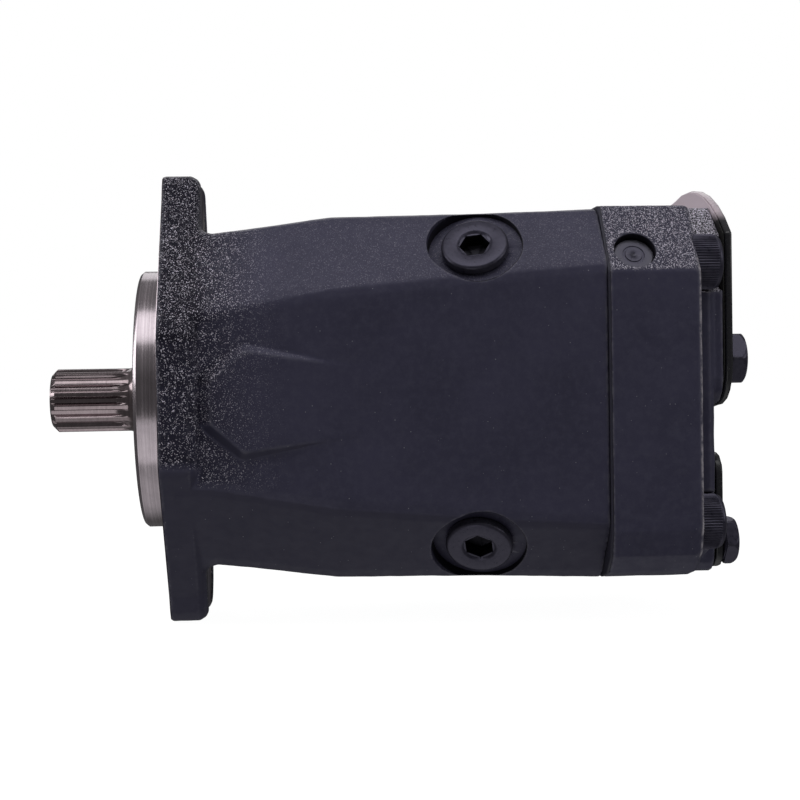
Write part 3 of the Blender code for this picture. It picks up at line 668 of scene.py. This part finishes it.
def cast_mesh(name, node, removed=(), machined=()):
    """A casting's skin: the part in fine, even faces, with soft edges and a slightly uneven surface.

    The machined cutters come after that, so that the recesses they make have crisp edges.
    """
    made = loose(name, clean_copy(node, merge_flats=False))
    helpers = trimmed(made, removed, "EXACT")
    remade = made.modifiers.new("even_faces", "REMESH")
    remade.mode = "VOXEL"
    remade.voxel_size = VOXEL * MM
    remade.use_smooth_shade = True
    soft = made.modifiers.new("soft_edges", "SMOOTH")
    soft.factor = 0.5
    soft.iterations = 2
    clouds = bpy.data.textures.new(name + "_swell", "CLOUDS")
    clouds.noise_scale = 11 * MM
    clouds.noise_depth = 2
    uneven = made.modifiers.new("uneven", "DISPLACE")
    uneven.texture = clouds
    uneven.texture_coords = "LOCAL"
    uneven.strength = 0.35 * MM
    uneven.mid_level = 0.5
    helpers += trimmed(made, machined, "MANIFOLD")
    mesh = settled(made)
    for helper in helpers:
        bpy.data.objects.remove(helper)
    return mesh


def drain_plug_places():
    """The upper and the lower drain plug's matrices, each carrying +X onto the way the plug faces."""
    x, y, z = PLUG_PLACE
    for side, up in (("upper", 1), ("lower", -1)):
        yield side, facing((x, y, up * z), plug_direction(up))


def make_housing():
    wide = 100  # past the pump's sides
    front = block((-30, -wide, -wide), (FACE_SKIN - 0.1, wide, wide))
    recesses = [recess(PLUG_RECESS_R, PLUG_DEPTH + RECESS_SPARE, place) for _, place in drain_plug_places()]
    cast = cast_mesh("cast_housing", "housing", [front], recesses)
    add_piece("cast_housing", cast, HOUSING_PAINT, ["housing"], sharp=50)

    skin = loose("flange_skin", clean_copy("housing", merge_flats=False))
    keep = loose("skin_slab", block((0, -wide, -wide), (FACE_SKIN, wide, wide)))
    slab = skin.modifiers.new("slab", "BOOLEAN")
    slab.operation = "INTERSECT"
    slab.object = keep
    mesh = settled(skin)
    bpy.data.objects.remove(keep)
    add_piece("machined_flange_face", mesh, MACHINED_IRON, ["housing"])

    front_x, groove_r = SPIGOT_FRONT, SEAL_BORE_R + 1.5
    rings = [(0.3, SPIGOT_R - 0.9), (-0.9, SPIGOT_R - 0.9), (-1.1, SPIGOT_R),
             (front_x + 1.3, SPIGOT_R), (front_x + 0.15, SPIGOT_R - 0.95), (front_x, SPIGOT_R - 1.3),
             (front_x, SEAL_BORE_R + 1.0), (front_x + 0.9, SEAL_BORE_R), (-8.8, SEAL_BORE_R),
             (-8.8, groove_r), (-7.0, groove_r), (-7.0, SEAL_BORE_R), (0.3, SEAL_BORE_R)]
    mesh = shell("machined_spigot", rings, 160, hollow=True)
    add_piece("machined_spigot", mesh, MACHINED_IRON, ["housing"])


def make_port_plate():
    mouth = recess(GALLERY_R, GALLERY_DEPTH + RECESS_SPARE, facing(GALLERY_PLACE, GALLERY_FACING))
    cast = cast_mesh("cast_port_plate", "port_plate", machined=[mouth])
    add_piece("cast_port_plate", cast, PLATE_PAINT, ["port_plate"], sharp=50)


# ---------------------------------------------------------------- screws, bolts and plugs


def make_cap_screws():
    """Knurled heads with a rounded rim and a chamfered socket."""
    head_height, shank_r = 12.3, 6.9
    knurl = knurled(64, 9.95, 10.5)
    for number in range(1, 5):
        node = f"port_plate_screw_{number}"
        low, high = (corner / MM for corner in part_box(node))
        tip, top = low.x, high.x
        seat = top - head_height
        socket = hexagon(12.0, 4.8 * number)
        rings = [(tip, 5.6), (tip + 1.4, shank_r), (seat, shank_r), (seat, 9.7), (seat + 0.35, 10.1),
                 (seat + 0.9, knurl), (top - 2.3, knurl), (top - 1.75, 10.22), (top - 1.1, 10.12),
                 (top - 0.5, 9.75), (top - 0.12, 9.1), (top, 8.4), (top, 7.35),
                 (top - 0.45, capped(socket, 7.0)), (top - 7.0, capped(socket, 6.95)), (top - 8.6, 1.0)]
        mesh = shell(f"knurled_screw_{number}", rings, 192)
        place = onto_axis_of(node)
        add_piece(f"knurled_screw_{number}", mesh, OXIDE, [node], matrix=place)


def make_cover_bolts():
    """Hexagon heads with a rounded crown and a washer face."""
    crown = [(2.6, 0.575), (2.0, 0.562), (1.4, 0.545), (0.85, 0.527), (0.4, 0.507), (0.12, 0.488), (0, 0.468)]
    for cover, across, shank_r, turn in (("suction", 19.0, 5.8, 0.0), ("pressure", 17.0, 4.8, 7.0)):
        _, cover_top = (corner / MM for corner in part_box(f"{cover}_cover"))
        seat, washer_r = cover_top.x + 0.3, across * 0.47
        head = hexagon(across, turn)
        for number in (1, 2):
            node = f"{cover}_cover_bolt_{number}"
            low, high = (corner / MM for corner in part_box(node))
            tip, top = low.x, high.x
            rings = [(tip, shank_r - 1), (tip + 1.2, shank_r), (seat, shank_r), (seat, washer_r),
                     (seat + 0.5, washer_r), (seat + 0.5, capped(head, across * 0.56)),
                     (seat + 0.9, capped(head, across * 0.5774))]
            rings += [(top - below, capped(head, across * share)) for below, share in crown]
            rings += [(top, across * 0.42), (top - 0.12, across * 0.40), (top - 0.12, across * 0.1)]
            mesh = shell(f"{cover}_hex_bolt_{number}", rings, 144)
            place = onto_axis_of(node)
            add_piece(f"{cover}_hex_bolt_{number}", mesh, OXIDE, [node], matrix=place)


def make_drain_plugs():
    """Flanged plugs with a chamfered hexagon socket."""
    socket = hexagon(10.0, 20.0)
    seat = 0.3 - PLUG_DEPTH
    for side, place in drain_plug_places():
        rings = [(seat - 12, 7.6), (seat - 11, 9.2), (seat - 0.01, 9.2), (seat, 12.0), (seat + 0.3, 12.5),
                 (-1.0, 12.5), (-0.55, 12.3), (-0.12, 11.75), (0, 11.3), (0, 6.9), (-0.1, 6.5), (-0.8, 5.75),
                 (-0.85, socket), (-6.5, socket), (-8.0, 0.8)]
        mesh = shell(f"{side}_socket_plug", rings, 144)
        add_piece(f"{side}_socket_plug", mesh, PLUG_OXIDE, [f"{side}_drain_plug"], matrix=place)


def make_gallery_plug():
    """A small disc with a ring pressed into its face."""
    face, groove = -2.8, -3.1
    rings = [(face - 0.6, 7.0), (groove, 7.2), (face, 7.0), (face, 4.1), (groove, 3.9), (groove, 3.3),
             (face, 3.1), (face, 1.0), (face - 0.4, 0.3)]
    mesh = shell("pressed_gallery_plug", rings, 72)
    add_piece("pressed_gallery_plug", mesh, OXIDE, ["gallery_plug"],
              matrix=facing(GALLERY_PLACE, GALLERY_FACING))


# ---------------------------------------------------------------- covers, gaskets and seal


def make_rounded(name, node, finish, width):
    """A plate or ring with its edges rounded off."""
    made = loose(name + "_blank", clean_copy(node))
    edges = made.modifiers.new("round_edges", "BEVEL")
    edges.width = width * MM
    edges.segments = 3
    edges.limit_method = "ANGLE"
    edges.angle_limit = math.radians(40)
    add_piece(name, settled(made), finish, [node])


def make_seam_gasket():
    """The gasket between the castings, painted over with them and almost flush with their sides."""
    mesh = clean_copy("housing_gasket")
    middle = middle_of("housing_gasket").x * MM
    thicker, wider = 2.0, 1.0065
    for vertex in mesh.vertices:
        x, y, z = vertex.co
        vertex.co = (middle + thicker * (x - middle), wider * y, wider * z)
    add_piece("painted_seam_gasket", mesh, PAINTED_PAPER, ["housing_gasket"])


def make_trim():
    """The gaskets, the port covers and the shaft's lip seal."""
    make_seam_gasket()
    make_rounded("suction_port_cover", "suction_cover", COVER_PAINT, 0.9)
    make_rounded("pressure_port_cover", "pressure_cover", COVER_PAINT, 0.9)
    make_rounded("suction_gasket_sheet", "suction_cover_gasket", PAPER, 0.15)
    make_rounded("pressure_gasket_sheet", "pressure_cover_gasket", PAPER, 0.15)
    rings = [(1.2, 19.7), (-6.2, 19.7), (-6.7, 19.2), (-6.7, 17.2), (-6.2, 16.7), (-5.6, 16.4),
             (-5.9, 15.4), (-6.6, 14.6), (-6.2, 14.25), (-4.2, 14.9), (-3.6, 16.6), (1.2, 17.0)]
    add_piece("lip_seal", shell("lip_seal", rings, 96, hollow=True), RUBBER, ["shaft_seal"])


# ---------------------------------------------------------------- shaft


def make_shaft():
    """The shaft with its involute-like spline, a centre hole and the steps that the bearings sit on."""
    _, high = (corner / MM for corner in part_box("drive_shaft"))
    _, block_high = (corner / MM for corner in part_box("cylinder_block"))
    rear, block_rear = high.x, block_high.x
    seal_r, collar_r, core_r, neck_r, tail_r = 14.0, 17.5, 14.6, 13.2, 11.0
    teeth = toothed(SPLINE_TEETH, ROOT_R, TIP_R, 8.2, 3.4)
    block_teeth = toothed(10, 13.0, SEAT_R, 9, 6)
    rings = [(SHAFT_END + 7.5, 0.4), (SHAFT_END + 6.2, 1.5), (SHAFT_END + 3.6, 1.6), (SHAFT_END, 3.7),
             (SHAFT_END, 10.3), (SHAFT_END + 0.5, capped(teeth, 10.85)), (SHAFT_END + 1.7, capped(teeth, 12.1)),
             (SHAFT_END + 2.1, capped(teeth, TIP_R))]
    rings += [(x, teeth) for x in (-40, -34, -28, -22)]
    rings += [(-18.7, toothed(SPLINE_TEETH, ROOT_R + 0.25, TIP_R, 8.2, 3.4)),
              (-17.1, toothed(SPLINE_TEETH, ROOT_R + 0.9, TIP_R, 8.6, 3.8)),
              (-15.7, toothed(SPLINE_TEETH, TIP_R - 0.15, TIP_R, 9, 4)), (-14.8, 12.7), (-13.4, 13.6)]
    rings += [(-12.8, seal_r), (4, seal_r), (4, SEAT_R), (28, SEAT_R), (28, collar_r), (33, collar_r),
              (33, core_r), (102, core_r), (102, neck_r), (132, neck_r), (132, block_teeth), (156, block_teeth),
              (156, neck_r), (block_rear - 4, neck_r), (block_rear - 4, tail_r), (rear - 1, tail_r), (rear, 10)]
    mesh = shell("splined_shaft", rings, 360)
    add_piece("splined_shaft", mesh, SHAFT_STEEL, ["drive_shaft"], "rotor")


# ---------------------------------------------------------------- carried-over nodes


def dress_inner_nodes():
    """Finishes for the nodes that keep the part's own shape."""
    bronze = ("slipper", "valve_plate", "upper_cradle", "lower_cradle")
    soft_steel = ("cylinder_block", "retainer_plate")
    for name, node in NODES.items():
        if node.hide_render:
            continue
        finish = HARD_STEEL
        if name.startswith(bronze):
            finish = BRONZE
        elif name.startswith(soft_steel):
            finish = SHAFT_STEEL
        elif name == "seal_retaining_ring":
            finish = OXIDE
        for slot in node.material_slots:
            slot.material = finish


make_camera()
make_world()
make_lights()
make_floor()
make_housing()
make_port_plate()
make_cap_screws()
make_cover_bolts()
make_drain_plugs()
make_gallery_plug()
make_trim()
make_shaft()
dress_inner_nodes()

bpy.context.scene.view_settings.view_transform = "Standard"
